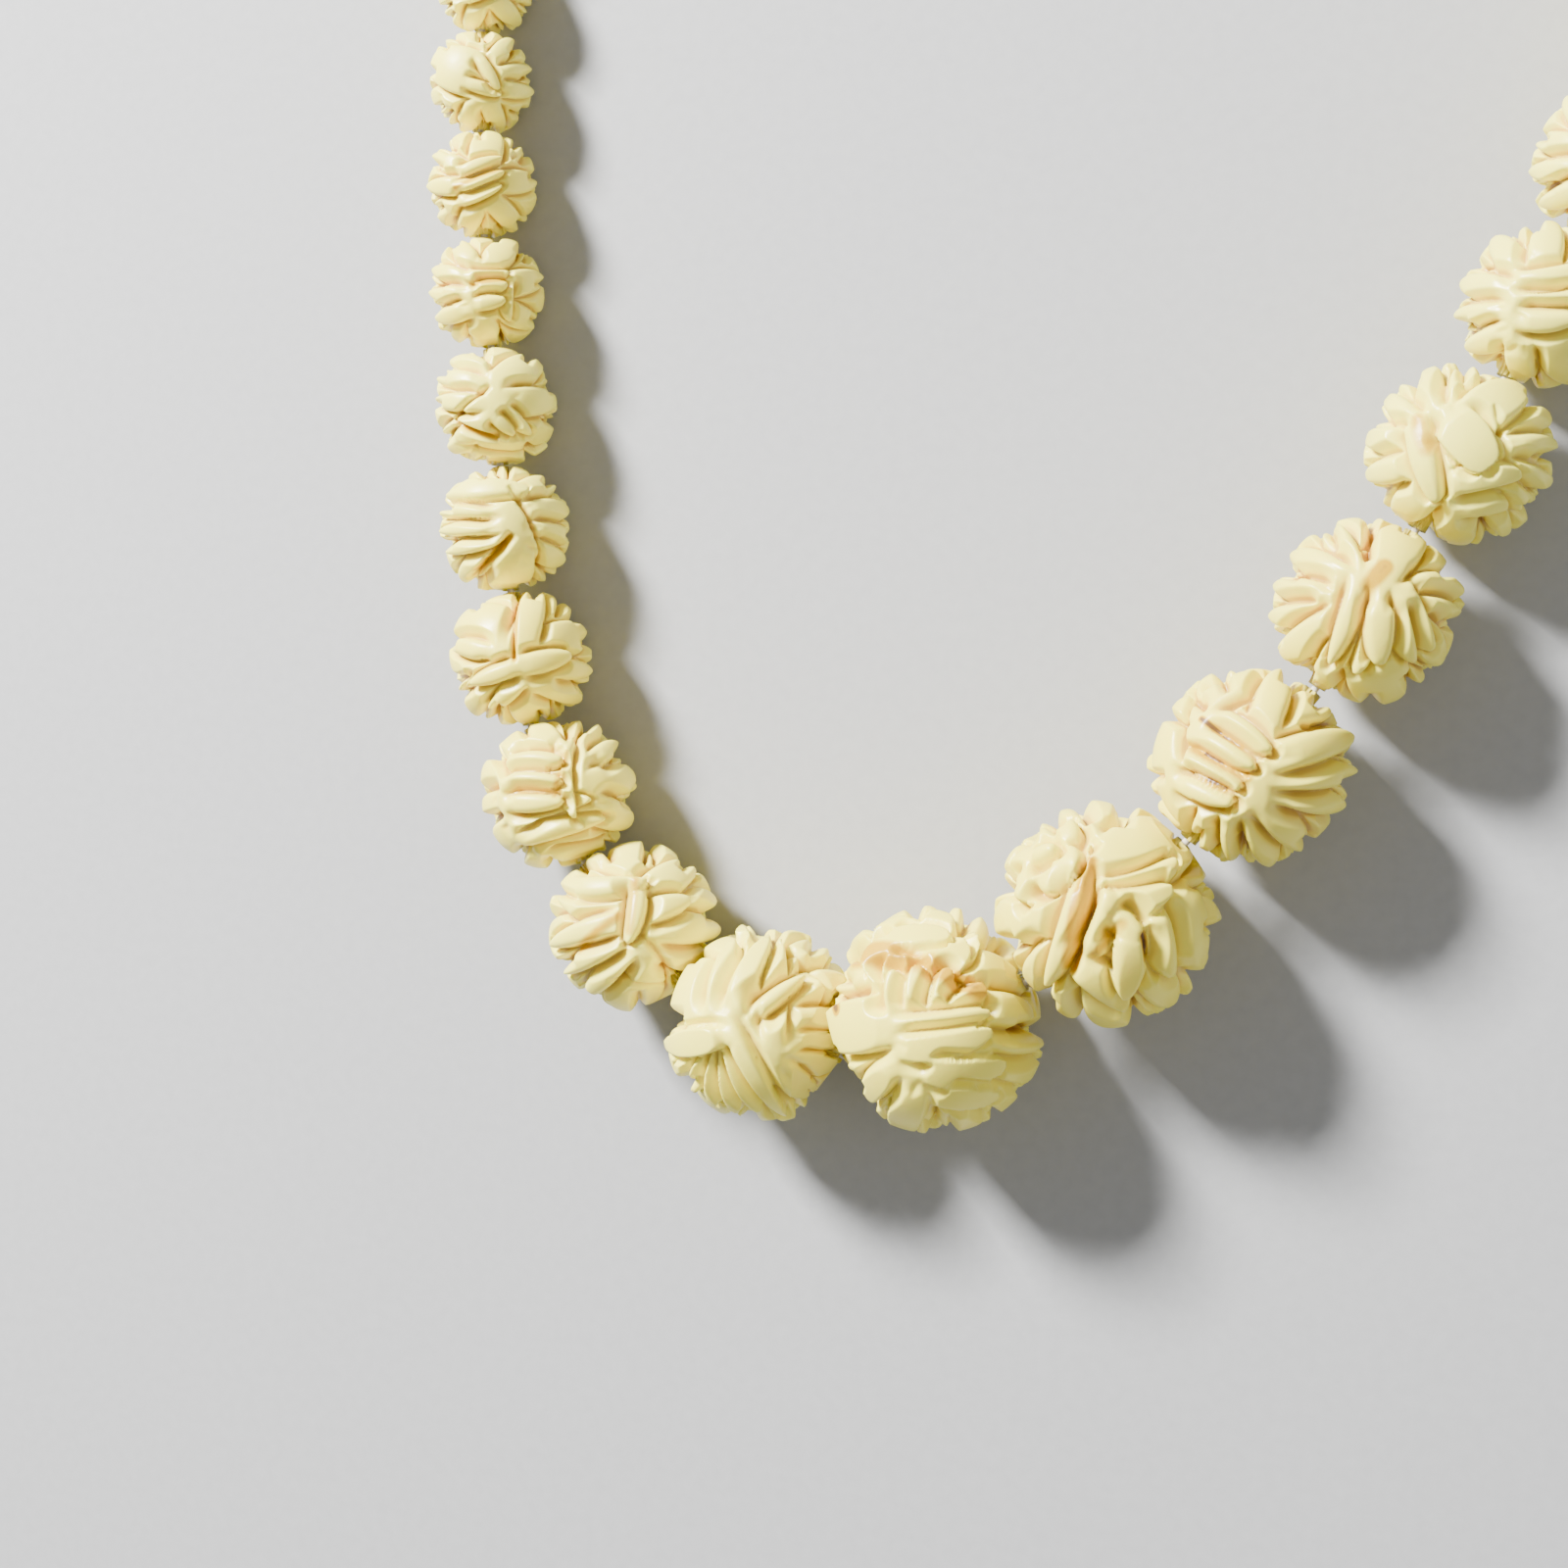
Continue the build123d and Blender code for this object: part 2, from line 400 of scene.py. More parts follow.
def blurred(grid, reach):
    """Running mean over the grid, which wraps round the bore."""
    total = sum(np.roll(grid, step, axis=1) for step in range(-reach, reach + 1)) / (2 * reach + 1)
    padded = np.pad(total, ((reach, reach), (0, 0)), mode="edge")
    rows = len(grid)
    return sum(padded[step:step + rows] for step in range(2 * reach + 1)) / (2 * reach + 1)


def smooth_object(name, vertices, faces):
    """A smooth mesh object in the scene."""
    mesh = bpy.data.meshes.new(name)
    mesh.from_pydata(vertices, [], faces)
    mesh.polygons.foreach_set("use_smooth", [True] * len(mesh.polygons))
    made = bpy.data.objects.new(name, mesh)
    bpy.context.scene.collection.objects.link(made)
    return made


def carved_bead(name, side, place, marks, rng, grid):
    """A closed bead with its bore: the carved outside on a grid, and the bore's wall inside it."""
    centre, along, radius = bead_seat(side, place)
    bore = min(BORE_RADIUS, BORE_SHARE * radius) / radius
    around, rows = grid
    first = math.atan2(bore, END_SHARE)
    polar = np.linspace(first, math.pi - first, rows)
    turn = np.linspace(0, 2 * math.pi, around, endpoint=False)
    axis = np.array(along)
    level = unit(np.cross([0, 0, 1], axis))
    ring = np.cos(turn)[:, None] * level + np.sin(turn)[:, None] * np.cross(axis, level)
    points = np.cos(polar)[:, None, None] * axis + np.sin(polar)[:, None, None] * ring[None]
    height, dirt = (field.reshape(rows, around) for field in bead_surface(points.reshape(-1, 3), marks, rng))

    # The swelling comes first, and then the bead is kept clear of its neighbours and of the floor.
    swell = SWELL.get((side, place), BULGE) * np.sin(polar) ** 2 + SHOULDER * np.sin(2 * polar) ** 2
    height = height * (1 + swell)[:, None]
    slopes = end_slope(side, place - 1), end_slope(side, place)
    height = np.minimum(height, end_limit(polar, slopes)[:, None])
    height = np.minimum(height, 1 / np.maximum(-points[:, :, 2], 0.5))
    height[[0, -1]] = bore / math.sin(first)
    # How far each spot sinks below its surroundings, which the shader paints as darker shade in the
    # crevices.
    crevice_shade = blurred(height, max(2, around // 60)) - height

    outside = (height[:, :, None] * points).reshape(-1, 3)
    reach = bore / math.tan(first)
    steps = [1 - 2 * row / (WALL_ROWS + 1) for row in range(1, WALL_ROWS + 1)]
    wall = [ring * bore - axis * (reach * step) for step in steps]
    vertices = np.concatenate([outside] + wall) * radius + np.array(centre)
    total = rows + WALL_ROWS
    index = np.arange(total * around).reshape(total, around)
    below = np.roll(index, -1, axis=0)
    quads = np.stack([index, below, np.roll(below, -1, axis=1), np.roll(index, -1, axis=1)], axis=-1)
    bead = smooth_object(name, vertices.tolist(), quads.reshape(-1, 4).tolist())

    # Each field has one value for the bore's wall, and the tone is one value for the whole bead.
    inner = WALL_ROWS * around
    # How far below the ridges a spot lies, which the shader paints as honey darkening into painted shade,
    # while the ridges stay light ivory.
    depth = (RIDGE_TOP - height) / DEPTH_RANGE
    fields = {label: np.concatenate([values.ravel(), np.full(inner, in_bore)])
              for label, values, in_bore in (("crevice_shade", crevice_shade * CREVICE_SHADE_GAIN, 0.6), ("stain", dirt, 0.5),
                                             ("depth", depth, 1.0))}
    fields["tone"] = np.full(len(vertices), rng.uniform(0, 1))
    for label, values in fields.items():
        field = bead.data.attributes.new(label, "FLOAT", "POINT")
        field.data.foreach_set("value", values.astype(np.float32))
    return bead


# ---------------------------------------------------------------- the beads in front, one by one

def front_left_01(see, rng):
    """A small flower above a stained diagonal cut, and a big rose of stacked blades below it."""
    flower = see.spot(-0.14, 0.68)
    return (
        rim_of_lobes(see, 11, 10, rng)
        + see.petals(
            (0.18, 0.48, 0.90, 0.32, 0.46, 1.02, 0.0, 2.4), (-0.45, 0.46, -1.08, 0.36, 0.34, 0.94))
        + see.grooves(
            (-0.72, 0.60, 0.38, 0.28, 0.26, 0.16), (-0.86, 0.22, -0.80, 0.02, 0.16, 0.14))
        + see.stains(
            (-0.70, 0.56, 0.38, 0.26, 0.30, 1.3), (-0.86, 0.16, -0.84, 0.08, 0.14, 2.2))
        + ring_of_petals(flower, see.right, 6, 0.10, 0.52, 20, 1.06, rng)
        + see.petals(
            (-0.42, 0.70, 0.14, 0.72, 0.26, 1.08), (-0.30, 0.00, -1.12, -0.16, 0.52, 1.04, 0.0, 2.2),
            (0.10, -0.46, 0.28, -1.18, 0.66, 1.03), (-0.16, -0.52, -0.38, -1.28, 0.32, 1.10, 0.0, 1.2),
            (0.36, -0.46, 0.78, -0.92, 0.36, 1.06), (0.46, -0.30, 1.12, -0.54, 0.32, 1.06, 0.0, 1.2),
            (0.44, -0.12, 1.14, -0.20, 0.32, 1.04, 0.0, 1.2), (-0.34, -0.40, -0.78, -0.84, 0.24, 1.06),
            (0.40, 0.12, 0.96, 0.06, 0.34, 1.02), (-0.34, 0.02, -0.36, 0.42, 0.20, 1.02),
            (-0.16, 0.02, -0.14, 0.46, 0.20, 1.04), (0.04, 0.00, 0.12, 0.44, 0.20, 1.03),
            (0.18, 0.00, 0.44, 0.30, 0.24, 1.03), (-0.40, -0.08, 0.48, 0.06, 0.24, 1.04, -0.3),
            (-0.38, -0.26, 0.50, -0.10, 0.24, 1.07, -0.2), (-0.14, -0.44, 0.62, -0.38, 0.28, 1.09, -0.2),
            (0.00, -0.66, 0.56, -0.66, 0.26, 1.08))
        + see.grooves(
            (-0.72, 0.60, -1.15, 0.75, 0.36, 0.28), (0.02, -0.78, 0.02, -1.40, 0.24, 0.22),
            (-0.60, -0.66, -0.86, -1.14, 0.28, 0.24), (0.60, 0.62, 0.92, 1.00, 0.28, 0.22)))


def front_left_02(see, rng):
    """A bow of fluted petals under steep ribs, with a sharp blade to the left."""
    fluted = fan(see.spot(-0.36, -0.14), see.right, 248, 72, 5, 0.96, 0.25, low=0.96, high=1.07)
    return (
        rim_of_lobes(see, 10, 24, rng)
        + see.petals(
            (-0.40, 0.20, -1.12, 0.50, 0.84, 1.01, 0.0, 2.6), (0.20, 0.50, 0.74, 0.90, 0.44, 1.0, 0.0, 2.4),
            (0.26, 0.26, 1.12, 0.38, 0.50, 1.01, 0.0, 2.4), (0.20, 0.00, 1.06, 0.04, 0.30),
            (0.18, -0.22, 1.08, -0.22, 0.28, 1.02), (0.20, -0.42, 0.96, -0.50, 0.30, 1.01),
            (0.04, -0.46, 0.34, -1.16, 0.30, 1.04), (0.16, -0.46, 0.68, -0.92, 0.30, 1.02),
            (-0.14, 0.42, -0.22, 1.08, 0.20, 1.10, 0.0, 0.8), (0.12, -0.30, 0.18, 0.84, 0.26, 1.02, 0.1),
            (-0.50, 0.04, -0.28, 0.82, 0.26, 1.03), (-0.34, 0.00, 0.06, 0.84, 0.27, 1.05),
            (-0.16, 0.04, 0.44, 0.48, 0.18, 0.99))
        + see.grooves(
            (0.20, 0.82, 0.80, 0.02, 0.14, 0.08))
        + fluted
        + see.petals(
            (-0.44, 0.16, 0.24, -0.92, 0.22, 1.05, 0.1, 1.4),
            (-0.24, -0.12, -1.18, -0.26, 0.30, 1.09, 0.0, 0.8)))


def front_left_03(see, rng):
    """A domed bud crossed by slanting ribs, wrapped in a crescent and lobed on the right."""
    return (
        rim_of_lobes(see, 11, 0, rng)
        + see.petals(
            (-0.10, 0.10, -0.98, 0.62, 0.70, 1.0, 0.0, 2.6),
            (-0.05, -0.36, 0.06, -1.16, 0.90, 1.0, 0.0, 2.4), (0.26, 0.22, 1.10, 0.34, 0.40, 1.02),
            (0.26, -0.24, 1.04, -0.50, 0.42, 1.01), (0.16, 0.00, 1.12, -0.06, 0.42, 1.02),
            (0.08, 0.32, 0.72, 0.72, 0.46, 1.02, 0.0, 2.4), (0.04, 0.14, 0.66, 0.30, 0.30, 1.03),
            (-0.02, -0.22, -0.56, -0.80, 0.30, 1.01), (0.00, -0.04, -0.82, -0.54, 0.28, 1.02),
            (-0.02, 0.10, -0.96, -0.22, 0.30, 1.02), (-0.74, 0.50, 0.16, 0.50, 0.28, 1.05, -0.5, 2.2),
            (0.06, 0.56, -0.06, -0.20, 0.22, 1.03, 0.3))
        + see.grooves(
            (0.08, -0.10, 0.46, -0.62, 0.16, 0.10, 0.3), (-0.30, -0.62, 0.50, -0.72, 0.14, 0.06, 0.3))
        + see.stains(
            (-0.18, 0.12, -0.68, -0.30, 0.14, 0.7), (0.02, 0.50, -0.05, -0.05, 0.14, 0.7)))


def front_left_04(see, rng):
    """Three level ribs inside a crescent, with long slanting petals below and big ones on the right."""
    return (
        rim_of_lobes(see, 12, 14, rng)
        + see.petals(
            (-0.20, 0.40, -0.66, 1.08, 0.92, 1.01, 0.0, 2.8), (0.36, 0.10, 1.10, 0.26, 0.50, 1.03),
            (0.38, -0.16, 1.12, -0.42, 0.46, 1.02), (0.34, 0.52, 0.60, 1.06, 0.28, 1.03, 0.0, 1.3),
            (0.42, 0.42, 0.92, 0.78, 0.28, 1.03, 0.0, 1.3), (-0.28, -0.86, 0.72, -0.62, 0.36, 1.01, 0.3),
            (-0.56, -0.66, 0.60, -0.30, 0.28, 1.02, 0.4), (-0.62, -0.44, 0.42, -0.06, 0.26, 1.03, 0.4),
            (0.18, 0.80, 0.20, -0.30, 0.26, 1.04, -0.5, 2.2), (-0.72, 0.40, 0.06, 0.44, 0.27, 1.02),
            (-0.78, 0.14, 0.04, 0.17, 0.27, 1.03), (-0.74, -0.12, 0.06, -0.10, 0.27, 1.02))
        + see.grooves(
            (-0.40, 0.62, 0.10, 0.60, 0.14, 0.07, -0.2))
        + see.stains(
            (-0.62, 0.02, 0.02, 0.04, 0.10, 0.6), (0.10, 0.52, -0.05, 0.00, 0.12, 0.6)))


def front_left_05(see, rng):
    """Broad facets that meet in the middle, a step across it and a notch at the lower left."""
    return (
        rim_of_lobes(see, 10, 5, rng)
        + see.petals(
            (-0.10, 0.30, -0.96, 0.56, 0.92, 1.02, 0.0, 2.8), (0.10, 0.12, 1.10, 0.42, 0.64, 1.0, 0.0, 2.4),
            (0.00, 0.10, 0.24, 1.08, 0.46, 1.02, 0.0, 2.4),
            (-0.36, 0.08, -1.14, 0.22, 0.30, 1.03, 0.0, 0.9),
            (0.04, -0.42, 0.26, -1.16, 0.66, 1.0, 0.0, 2.2), (0.14, -0.30, 0.94, -0.66, 0.40, 1.02, 0.2),
            (0.40, -0.12, 1.14, -0.18, 0.32, 1.02, 0.0, 1.2),
            (-0.50, -0.22, -0.86, -1.02, 0.42, 1.02, 0.0, 2.6), (0.06, -0.26, -0.44, -0.72, 0.26, 1.02),
            (0.04, -0.08, -0.70, -0.34, 0.26, 1.03), (-0.08, -0.12, 0.70, 0.06, 0.34, 1.03))
        + see.grooves(
            (-0.05, 0.98, -0.10, -0.06, 0.16, 0.12), (-0.30, -0.60, -0.44, -0.98, 0.26, 0.18))
        + see.stains(
            (-0.05, 0.80, -0.10, 0.0, 0.12, 0.7)))


def front_left_06(see, rng):
    """Four ribs fanned to the left, a thick crescent on top and a scalloped right edge."""
    return (
        rim_of_lobes(see, 11, 20, rng)
        + see.petals(
            (0.10, 0.44, 0.86, 0.84, 0.46, 1.01, 0.0, 2.4), (0.18, 0.20, 1.10, 0.34, 0.44, 1.01),
            (0.26, -0.06, 1.12, -0.10, 0.42, 1.01), (0.28, -0.28, 1.02, -0.54, 0.42, 1.01),
            (0.10, -0.30, 0.02, -1.16, 0.84, 1.01, 0.0, 2.4), (-0.30, -0.38, -0.82, -1.00, 0.40, 1.02),
            (0.02, -0.08, -0.90, -0.36, 0.26, 1.01), (0.04, 0.06, -1.06, -0.06, 0.27, 1.02),
            (0.02, 0.26, -1.06, 0.22, 0.28, 1.02), (0.02, 0.46, -0.94, 0.50, 0.27, 1.02),
            (-0.84, 0.62, 0.34, 0.56, 0.42, 1.05, -0.4, 2.6))
        + see.grooves(
            (0.12, -0.06, -0.54, -0.78, 0.24, 0.20), (0.04, 0.62, 0.56, -0.60, 0.18, 0.12, 0.1))
        + see.stains(
            (0.08, -0.14, -0.44, -0.66, 0.16, 1.2)))


def front_left_07(see, rng):
    """Saw teeth down the left, large facets on the right and a crescent lip along the bottom."""
    return (
        rim_of_lobes(see, 10, 8, rng)
        + see.petals(
            (0.00, 0.30, 0.80, 0.86, 0.66, 1.01, 0.0, 2.6), (0.06, 0.06, 1.12, 0.14, 0.56, 1.0, 0.0, 2.4),
            (-0.10, 0.56, -0.94, 0.90, 0.36, 1.03, 0.0, 1.3),
            (-0.10, 0.32, -1.10, 0.48, 0.34, 1.03, 0.0, 1.3),
            (-0.10, 0.06, -1.14, 0.06, 0.34, 1.03, 0.0, 1.3), (-0.40, -0.44, -0.94, -0.90, 0.40, 1.02),
            (-0.72, -0.62, 0.92, -0.62, 0.34, 1.03, 0.25, 2.4), (0.10, 0.00, 0.56, -0.42, 0.24, 1.02),
            (-0.08, -0.12, 0.30, -0.44, 0.22, 1.01))
        + see.grooves(
            (-0.08, 0.36, -0.76, -0.28, 0.18, 0.12), (-0.74, -0.24, 0.06, -0.52, 0.22, 0.18))
        + see.stains(
            (-0.68, -0.26, 0.0, -0.50, 0.18, 1.2)))


def front_left_08(see, rng):
    """A worn rose: a few broad petals about the middle, with teeth at the left."""
    return (
        rim_of_lobes(see, 10, 30, rng)
        + see.petals(
            (-0.06, 0.36, 0.56, 1.00, 0.56, 1.01, 0.0, 2.4), (0.10, 0.10, 1.10, 0.30, 0.52, 1.01),
            (0.10, -0.20, 0.98, -0.56, 0.48, 1.01), (-0.12, -0.36, 0.02, -1.14, 0.60, 1.01, 0.0, 2.2),
            (-0.20, 0.40, -0.66, 1.00, 0.40, 1.02, 0.0, 1.4),
            (-0.24, 0.16, -1.10, 0.42, 0.36, 1.02, 0.0, 1.4),
            (-0.26, -0.06, -1.14, -0.02, 0.34, 1.02, 0.0, 1.4), (-0.24, -0.26, -0.98, -0.50, 0.36, 1.01),
            (-0.46, 0.34, 0.36, 0.36, 0.26, 1.03, -0.6), (0.40, 0.34, 0.36, -0.46, 0.26, 1.03, -0.5),
            (-0.30, 0.04, 0.34, 0.16, 0.26, 1.03), (-0.28, -0.22, 0.30, -0.10, 0.26, 1.04))
        + see.stains(
            (-0.30, 0.16, 0.30, 0.24, 0.12, 0.8)))


def front_left_09(see, rng):
    """Slanting ridges across the middle over broad lobes."""
    return (
        rim_of_lobes(see, 11, 16, rng)
        + see.petals(
            (0.00, 0.34, 0.20, 1.10, 0.70, 1.0, 0.0, 2.4), (0.20, 0.06, 1.12, 0.12, 0.50, 1.01),
            (0.16, -0.24, 0.80, -0.86, 0.46, 1.01), (-0.10, -0.34, -0.42, -1.10, 0.46, 1.01),
            (-0.20, 0.20, -1.02, 0.54, 0.42, 1.02, 0.0, 1.4),
            (-0.20, -0.02, -1.14, -0.06, 0.38, 1.02, 0.0, 1.4), (-0.56, -0.36, 0.36, 0.02, 0.24, 1.02),
            (-0.56, -0.10, 0.40, 0.26, 0.24, 1.03), (-0.52, 0.18, 0.36, 0.50, 0.24, 1.03))
        + see.stains(
            (-0.5, -0.04, 0.34, 0.30, 0.12, 0.7)))


def front_left_10(see, rng):
    """A bright smooth left half, with small petals crowded on the right."""
    return (
        rim_of_lobes(see, 11, 12, rng)
        + see.petals(
            (0.10, 0.10, -1.02, 0.34, 1.06, 1.02, 0.0, 3.0), (-0.02, -0.34, -0.46, -1.08, 0.52, 1.01),
            (0.16, -0.36, 0.42, -1.06, 0.44, 1.01), (0.20, 0.40, 0.70, 0.94, 0.38, 1.02),
            (0.24, 0.16, 1.12, 0.30, 0.34, 1.02), (0.26, -0.08, 1.12, -0.14, 0.34, 1.03),
            (-0.40, 0.02, 0.40, -0.20, 0.24, 1.03), (-0.10, 0.56, 0.34, -0.10, 0.24, 1.03)))


def front_right_01(see, rng):
    """A big rose low on the right, long leaves to the left of it and a small flower at top left."""
    flower = see.spot(-0.58, 0.52)
    return (
        rim_of_lobes(see, 12, 0, rng)
        + see.petals(
            (0.16, 0.44, 0.84, 0.86, 0.80, 1.01, 0.0, 2.8),
            (-0.26, 0.16, -1.12, -0.22, 0.62, 1.01, 0.0, 2.4),
            (-0.36, -0.34, -0.84, -0.84, 0.44, 1.0, 0.0, 2.2), (-0.24, -0.54, -0.44, -1.14, 0.40, 1.02),
            (0.04, -0.60, 0.08, -1.16, 0.56, 1.03, 0.0, 2.2), (0.34, -0.54, 0.66, -1.00, 0.48, 1.03))
        + ring_of_petals(flower, see.right, 6, 0.08, 0.46, 0, 1.03, rng)
        + see.petals(
            (-0.70, 0.50, -0.44, 0.56, 0.20, 1.04), (0.70, 0.06, 1.14, -0.10, 0.40, 1.02),
            (0.64, 0.42, 0.72, -0.80, 0.46, 1.04, -0.2, 2.4), (0.34, -0.44, 0.60, -0.84, 0.38, 1.04),
            (-0.34, -0.44, 0.22, -0.86, 0.34, 1.03, 0.4), (-0.20, 0.40, -0.52, -0.66, 0.26, 1.02, 0.3),
            (-0.12, 0.20, 0.62, 0.46, 0.26, 1.04, -0.7, 2.2),
            (-0.22, -0.46, 0.04, 0.20, 0.26, 1.05, -0.5, 2.2),
            (-0.04, 0.10, 0.56, 0.20, 0.24, 1.06, -0.7, 2.2), (0.42, 0.10, 0.56, -0.56, 0.28, 1.05, -0.3),
            (0.02, 0.00, 0.30, -0.20, 0.22, 1.04), (0.24, -0.04, 0.16, -0.74, 0.32, 1.08, 0.0, 1.3))
        + see.grooves(
            (-0.10, 0.48, -0.34, -0.56, 0.20, 0.13, 0.3), (0.32, -0.16, 0.36, -0.46, 0.12, 0.12))
        + see.stains(
            (-0.14, 0.44, -0.32, -0.52, 0.18, 1.2), (0.32, -0.20, 0.36, -0.40, 0.10, 2.0),
            (-0.10, -0.38, 0.14, -0.10, 0.12, 0.9)))


def front_right_02(see, rng):
    """A smooth band at the left, four short ribs between dark pits, and three long petals right."""
    return (
        rim_of_lobes(see, 11, 18, rng)
        + see.petals(
            (-0.54, -0.60, -0.66, 0.72, 0.66, 1.0, 0.3, 3.0),
            (-0.52, 0.66, 0.24, 0.92, 0.44, 1.0, -0.2, 2.8), (0.30, 0.60, 0.84, 0.66, 0.46, 0.99, 0.0, 2.4),
            (0.10, 0.34, 0.36, 1.06, 0.36, 1.02, 0.0, 2.2), (-0.36, -0.44, -0.56, -1.00, 0.34, 1.0),
            (-0.16, -0.42, -0.14, -1.14, 0.30, 1.01), (0.06, -0.42, 0.22, -1.14, 0.36, 1.01, 0.0, 1.4),
            (0.10, -0.34, 0.64, -0.92, 0.34, 1.02), (0.20, -0.22, 1.02, -0.44, 0.32, 1.02),
            (0.14, -0.10, 1.12, -0.06, 0.32, 1.03), (0.10, 0.04, 1.10, 0.32, 0.34, 1.04),
            (-0.36, 0.56, 0.20, 0.14, 0.22, 1.03), (-0.56, 0.34, 0.04, -0.02, 0.22, 1.03),
            (-0.76, 0.14, -0.10, -0.22, 0.22, 1.03), (-0.78, -0.14, -0.18, -0.38, 0.22, 1.02))
        + see.stains(
            (-0.50, 0.49, -0.34, 0.38, 0.08, 2.6), (-0.30, 0.34, -0.10, 0.21, 0.08, 2.0),
            (-0.50, 0.14, -0.30, 0.03, 0.08, 2.6), (-0.46, -0.15, -0.26, -0.25, 0.08, 2.4),
            (-0.54, -0.35, -0.30, -0.45, 0.08, 2.2), (-0.66, 0.24, -0.03, -0.12, 0.14, 0.9)))


def front_right_03(see, rng):
    """An oval bud in crescents, a notch at the top, pointed petals beside it and scallops at the left."""
    return (
        rim_of_lobes(see, 11, 6, rng)
        + see.petals(
            (0.08, 0.40, 0.62, 0.98, 0.62, 1.01, 0.0, 3.0), (0.44, 0.24, 1.10, 0.20, 0.36, 1.03, 0.0, 1.4),
            (0.40, 0.00, 1.12, -0.10, 0.36, 1.02, 0.0, 1.4),
            (-0.10, 0.36, -0.44, 1.06, 0.34, 1.03, 0.0, 1.3), (-0.14, 0.30, -0.90, 0.72, 0.34, 1.02),
            (-0.30, 0.12, -1.10, 0.34, 0.32, 1.02), (-0.40, -0.06, -1.12, -0.04, 0.30, 1.01),
            (-0.14, -0.04, -0.92, -0.50, 0.44, 1.01, 0.0, 2.4),
            (-0.10, -0.24, -0.56, -0.92, 0.40, 1.01, 0.0, 2.2),
            (0.10, -0.50, 0.22, -1.14, 0.74, 1.02, 0.0, 2.6), (0.50, -0.12, 0.90, -0.66, 0.40, 1.01),
            (-0.06, 0.42, -0.36, -0.56, 0.24, 1.02, 0.2), (0.16, 0.26, -0.10, -0.66, 0.24, 1.03, 0.3, 2.2),
            (0.36, 0.34, 0.70, -0.44, 0.30, 1.03, -0.3, 2.2), (0.34, 0.10, 0.50, -0.56, 0.26, 1.04, -0.4),
            (0.16, 0.14, 0.14, -0.56, 0.32, 1.06, 0.0, 2.0))
        + see.grooves(
            (0.06, 0.98, 0.04, 0.56, 0.22, 0.20))
        + see.stains(
            (0.20, 0.46, 0.04, 0.28, 0.24, 1.1)))


def front_right_04(see, rng):
    """Scalloped lobes at the left, bright lobes above the middle, and five petals fanned right."""
    return (
        rim_of_lobes(see, 13, 10, rng)
        + see.petals(
            (0.40, 0.26, 1.10, 0.46, 0.40, 1.03, 0.0, 1.6), (0.40, 0.04, 1.12, 0.06, 0.32, 1.03, 0.0, 1.3),
            (0.38, -0.16, 1.04, -0.36, 0.30, 1.03, 0.0, 1.3),
            (0.30, -0.30, 0.84, -0.64, 0.28, 1.02, 0.0, 1.3),
            (0.20, -0.42, 0.54, -0.96, 0.32, 1.02, 0.0, 1.3),
            (-0.10, -0.42, -0.04, -1.14, 0.60, 1.01, 0.0, 2.6),
            (-0.30, -0.30, -0.80, -0.80, 0.50, 1.0, 0.0, 2.2), (-0.34, 0.46, -0.32, 1.08, 0.36, 1.02),
            (0.02, 0.54, 0.10, 1.12, 0.36, 1.02), (-0.44, 0.32, -0.88, 0.78, 0.30, 1.02),
            (-0.46, 0.16, -1.12, 0.26, 0.32, 1.03), (-0.46, -0.08, -1.08, -0.20, 0.32, 1.02),
            (-0.50, 0.54, -0.24, -0.50, 0.34, 1.01, 0.1, 2.4),
            (-0.06, -0.62, 0.50, -0.54, 0.28, 1.02, 0.4, 2.2),
            (-0.18, -0.36, 0.62, -0.22, 0.30, 1.04, 0.4, 2.2),
            (0.06, 0.34, 0.66, 0.72, 0.56, 1.04, 0.0, 2.6), (-0.16, 0.46, 0.30, -0.14, 0.52, 1.06, 0.1, 2.4))
        + see.grooves(
            (0.34, 0.52, 0.52, -0.10, 0.12, 0.08))
        + see.stains(
            (-0.44, 0.40, -0.34, 0.10, 0.24, 0.7)))


def front_right_05(see, rng):
    """Lobes down the left and crescents across, over a smooth lower right."""
    return (
        rim_of_lobes(see, 12, 4, rng)
        + see.petals(
            (0.10, -0.20, 0.60, -1.00, 0.90, 1.01, 0.0, 3.0), (-0.20, 0.36, -0.62, 0.94, 0.40, 1.02),
            (-0.30, 0.16, -1.08, 0.40, 0.38, 1.02), (-0.34, -0.08, -1.12, -0.04, 0.34, 1.02),
            (-0.30, -0.28, -0.98, -0.48, 0.36, 1.01), (0.00, 0.40, 0.10, 1.10, 0.44, 1.02),
            (-0.40, 0.36, 0.60, 0.46, 0.28, 1.03, -0.5, 2.2),
            (-0.40, 0.12, 0.56, 0.14, 0.28, 1.04, -0.5, 2.2),
            (-0.36, -0.12, 0.40, -0.16, 0.28, 1.03, -0.3, 2.2), (-0.30, -0.34, -0.20, -1.06, 0.40, 1.01)))


FRONT = {
    ("left", 1): front_left_01, ("left", 2): front_left_02, ("left", 3): front_left_03,
    ("left", 4): front_left_04, ("left", 5): front_left_05, ("left", 6): front_left_06,
    ("left", 7): front_left_07, ("left", 8): front_left_08, ("left", 9): front_left_09,
    ("left", 10): front_left_10, ("left", 11): front_left_09,
    ("right", 1): front_right_01, ("right", 2): front_right_02, ("right", 3): front_right_03,
    ("right", 4): front_right_04, ("right", 5): front_right_05, ("right", 6): front_left_08,
}


